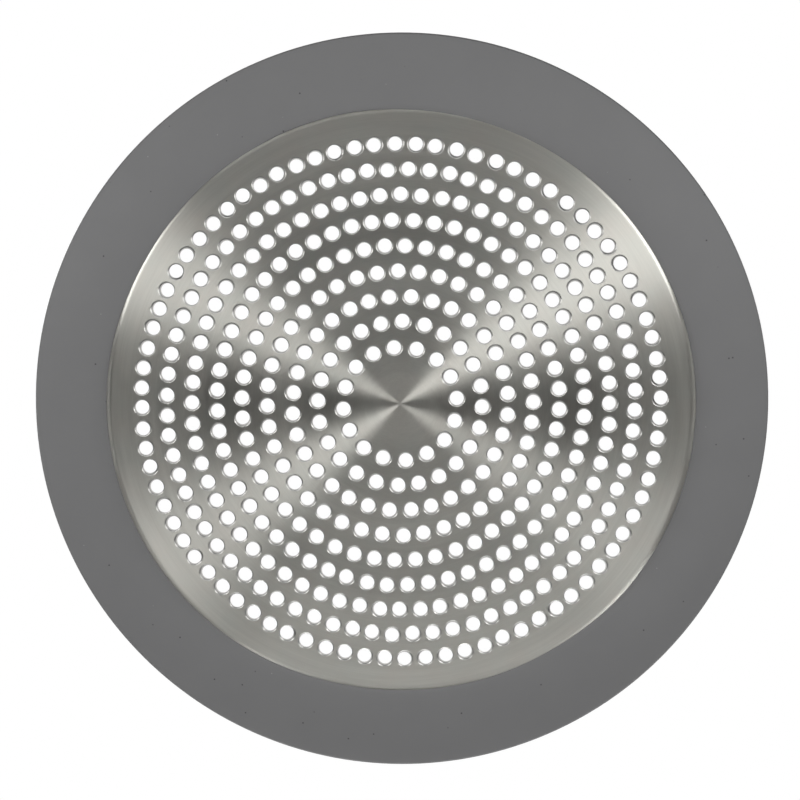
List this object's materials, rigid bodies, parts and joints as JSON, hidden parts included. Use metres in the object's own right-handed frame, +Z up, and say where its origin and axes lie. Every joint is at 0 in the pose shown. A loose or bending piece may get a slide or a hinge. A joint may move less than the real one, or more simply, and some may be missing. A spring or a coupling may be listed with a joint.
{
  "type": "shower drain strainer",
  "caption": "Round hair-catching cover for a shower drain: a shallow crowned, perforated brushed-steel plate held in a grey silicone ring with a thin sloping edge.",
  "frame": {"origin": "centre of the silicone ring's flat foot, on the shower floor", "axes": "+Z up, away from the floor, along the strainer's axis; X and Y lie in the floor, and the picture's right is +X and its top is +Y"},
  "size_m": [0.146, 0.146, 0.0084],
  "materials": {
    "brushed_steel": "stainless steel brushed in circles round its middle",
    "grey_silicone": "smooth matt silicone"
  },
  "bodies": {
    "root": {"strainer_plate": "brushed_steel", "silicone_ring": "grey_silicone"}
  },
  "joints": []
}
